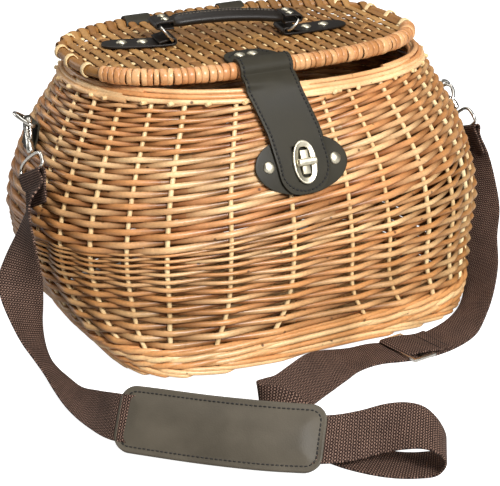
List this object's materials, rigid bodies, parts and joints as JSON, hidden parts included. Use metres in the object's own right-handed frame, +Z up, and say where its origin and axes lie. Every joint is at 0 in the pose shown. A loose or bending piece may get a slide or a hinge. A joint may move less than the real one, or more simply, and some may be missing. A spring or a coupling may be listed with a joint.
{
  "type": "mushroom basket",
  "caption": "Bulged willow gathering basket with a hinged oval lid, leather turn-lock closure, leather handle and a webbing shoulder strap with a pad.",
  "frame": {"origin": "on the floor, on the flat underside of the base panel, under the middle of the lid's length", "axes": "+X to the right along the front, +Y towards the back with its hinges, +Z up"},
  "size_m": [0.4903, 0.5355, 0.2709],
  "materials": {
    "willow": "satin",
    "leather": "satin",
    "nickel": "polished",
    "webbing": "matte",
    "padding": "matte"
  },
  "bodies": {
    "basket": {"base_panel": "willow", "basket_wall": "willow", "d_ring_left": "nickel", "d_ring_right": "nickel", "foot_border": "willow", "hinge_strap_left": "leather", "hinge_strap_right": "leather", "keeper_patch": "leather", "lock_base": "nickel", "patch_rivet_left": "nickel", "patch_rivet_right": "nickel", "rim_border": "willow", "shoulder_pad": "padding", "side_tab_left": "leather", "side_tab_right": "leather", "slider_bar": "nickel", "snap_hook_left": "nickel", "snap_hook_right": "nickel", "strap_slider": "nickel", "swivel_loop_left": "nickel", "swivel_loop_right": "nickel", "webbing_front": "webbing", "webbing_left": "webbing", "webbing_loop": "webbing"},
    "lid": {"closure_rivet_left": "nickel", "closure_rivet_right": "nickel", "closure_strap": "leather", "end_rivet_left_1": "nickel", "end_rivet_left_2": "nickel", "end_rivet_right_1": "nickel", "end_rivet_right_2": "nickel", "handle_end_left": "leather", "handle_end_right": "leather", "handle_grip": "leather", "handle_ring_left": "nickel", "handle_ring_right": "nickel", "handle_tab_left": "leather", "handle_tab_right": "leather", "lid_frame": "willow", "lid_panel": "willow", "lid_wrap": "willow", "lock_eyelet": "nickel", "tab_rivet_left_1": "nickel", "tab_rivet_left_2": "nickel", "tab_rivet_right_1": "nickel", "tab_rivet_right_2": "nickel"},
    "button": {"turn_button": "nickel"},
    "gate_left": {"hook_gate_left": "nickel"},
    "gate_right": {"hook_gate_right": "nickel"}
  },
  "joints": [
    {"name": "lid_hinge", "type": "hinge", "parent": "basket", "child": "lid", "pos_m": [-0.02, 0.09052, 0.244], "axis": [-0.9998, -0.0189, 0], "range_deg": [0, 105]},
    {"name": "button_turn", "type": "hinge", "parent": "basket", "child": "button", "pos_m": [-0.01827, -0.14504, 0.17728], "axis": [-0.0236, -0.9164, 0.3997], "range_deg": [0, 90]},
    {"name": "gate_left_open", "type": "hinge", "parent": "basket", "child": "gate_left", "pos_m": [-0.20801, -0.00706, 0.18346], "axis": [-0.9826, 0.0997, 0.1567], "range_deg": [0, 18], "stiffness_Nm_per_rad": 0.01},
    {"name": "gate_right_open", "type": "hinge", "parent": "basket", "child": "gate_right", "pos_m": [0.22621, 0.00137, 0.15425], "axis": [0.177, -0.7638, 0.6207], "range_deg": [0, 18], "stiffness_Nm_per_rad": 0.01}
  ]
}
